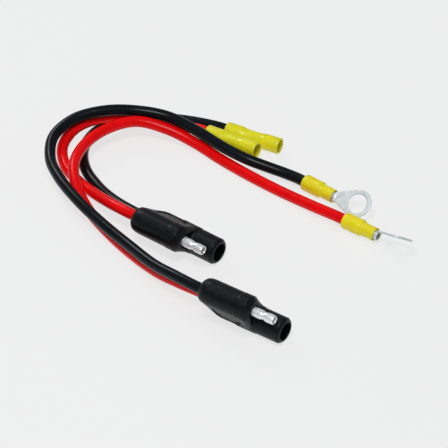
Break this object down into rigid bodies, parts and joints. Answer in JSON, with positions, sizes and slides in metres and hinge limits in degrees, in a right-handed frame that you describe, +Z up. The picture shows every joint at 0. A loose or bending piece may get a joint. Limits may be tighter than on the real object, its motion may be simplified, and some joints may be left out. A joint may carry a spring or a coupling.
{
  "type": "solar cable connector",
  "caption": "Flat quick-disconnect cable leads with moulded bullet plugs, one ending in insulated butt splices and one in insulated ring terminals.",
  "frame": {"origin": "on the ground under the middle of the two plugs' common bounding box", "axes": "+Z up, +X the way the butt lead's plug mates, out of its socket's mouth"},
  "size_m": [0.1606, 0.1094, 0.0194],
  "materials": {
    "moulding": "soft satin black moulding",
    "red_jacket": "glossy red",
    "black_jacket": "glossy black",
    "nickel": "bright nickel plate",
    "tin": "satin tin plate on copper",
    "copper": "bare copper strands",
    "butt_yellow": "semi-gloss greenish yellow",
    "ring_yellow": "semi-gloss yellow"
  },
  "bodies": {
    "butt_lead": {"butt_lead_plug_body": "moulding", "butt_lead_bullet_pin": "nickel", "butt_lead_socket_barrel": "nickel", "butt_lead_red_plug_strands": "copper", "butt_lead_red_wire": "red_jacket", "butt_lead_red_end_strands": "copper", "butt_lead_red_sleeve": "butt_yellow", "butt_lead_red_splice_barrel": "tin", "butt_lead_black_plug_strands": "copper", "butt_lead_black_wire": "black_jacket", "butt_lead_black_end_strands": "copper", "butt_lead_black_sleeve": "butt_yellow", "butt_lead_black_splice_barrel": "tin"},
    "ring_lead": {"ring_lead_plug_body": "moulding", "ring_lead_bullet_pin": "nickel", "ring_lead_socket_barrel": "nickel", "ring_lead_black_plug_strands": "copper", "ring_lead_black_wire": "black_jacket", "ring_lead_black_end_strands": "copper", "ring_lead_black_sleeve": "ring_yellow", "ring_lead_black_ring_terminal": "tin", "ring_lead_red_plug_strands": "copper", "ring_lead_red_wire": "red_jacket", "ring_lead_red_end_strands": "copper", "ring_lead_red_sleeve": "ring_yellow", "ring_lead_red_ring_terminal": "tin"}
  },
  "joints": [
    {"name": "ring_lead_lift", "type": "slide", "parent": "butt_lead", "child": "ring_lead", "axis": [0, 0, 1], "range_m": [0, 0.08]}
  ]
}
